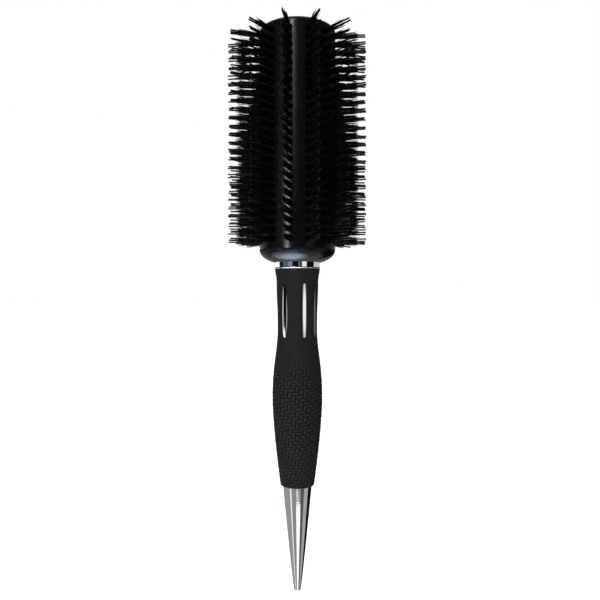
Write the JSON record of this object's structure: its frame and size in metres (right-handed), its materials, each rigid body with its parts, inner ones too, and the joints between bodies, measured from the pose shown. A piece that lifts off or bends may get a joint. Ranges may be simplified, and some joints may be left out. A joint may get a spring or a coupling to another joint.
{
  "type": "round barrel brush",
  "caption": "Large round salon brush: satin barrel with rows of boar and nylon tufts, chrome collar, slotted rubber grip and a pointed chrome tail.",
  "frame": {"origin": "the tip of the tail, on the brush's axis", "axes": "+Z along the brush from the tail's tip to the barrel's domed top; -Y is the front, the side that the reference view shows"},
  "size_m": [0.0704, 0.0703, 0.2824],
  "materials": {
    "barrel_paint": "satin gunmetal paint on moulded plastic",
    "steel": "bright drawn",
    "anchor_wire": "flattened wire",
    "chrome": "mirror plated",
    "plated_plastic": "moulded plastic with a mirror chrome plating",
    "grip_rubber": "matt soft-touch with a fine diagonal weave relief",
    "boar_hair": "natural hair, dark",
    "nylon_quill": "glossy monofilament"
  },
  "bodies": {
    "root": {"barrel_core": "barrel_paint", "barrel_top_cap": "barrel_paint", "barrel_shoulder": "barrel_paint", "steel_tang": "steel", "tuft_anchors": "anchor_wire", "handle_core": "plated_plastic", "collar_ring": "chrome", "rubber_grip": "grip_rubber", "tail_pick": "chrome", "boar_row_01": "boar_hair", "boar_row_02": "boar_hair", "boar_row_03": "boar_hair", "boar_row_04": "boar_hair", "boar_row_05": "boar_hair", "boar_row_06": "boar_hair", "boar_row_07": "boar_hair", "boar_row_08": "boar_hair", "boar_row_09": "boar_hair", "boar_row_10": "boar_hair", "boar_row_11": "boar_hair", "boar_row_12": "boar_hair", "boar_row_13": "boar_hair", "nylon_row_01": "nylon_quill", "nylon_row_02": "nylon_quill", "nylon_row_03": "nylon_quill", "nylon_row_04": "nylon_quill", "nylon_row_05": "nylon_quill", "nylon_row_06": "nylon_quill", "nylon_row_07": "nylon_quill", "nylon_row_08": "nylon_quill", "nylon_row_09": "nylon_quill", "nylon_row_10": "nylon_quill", "nylon_row_11": "nylon_quill", "nylon_row_12": "nylon_quill", "nylon_row_13": "nylon_quill"}
  },
  "joints": []
}
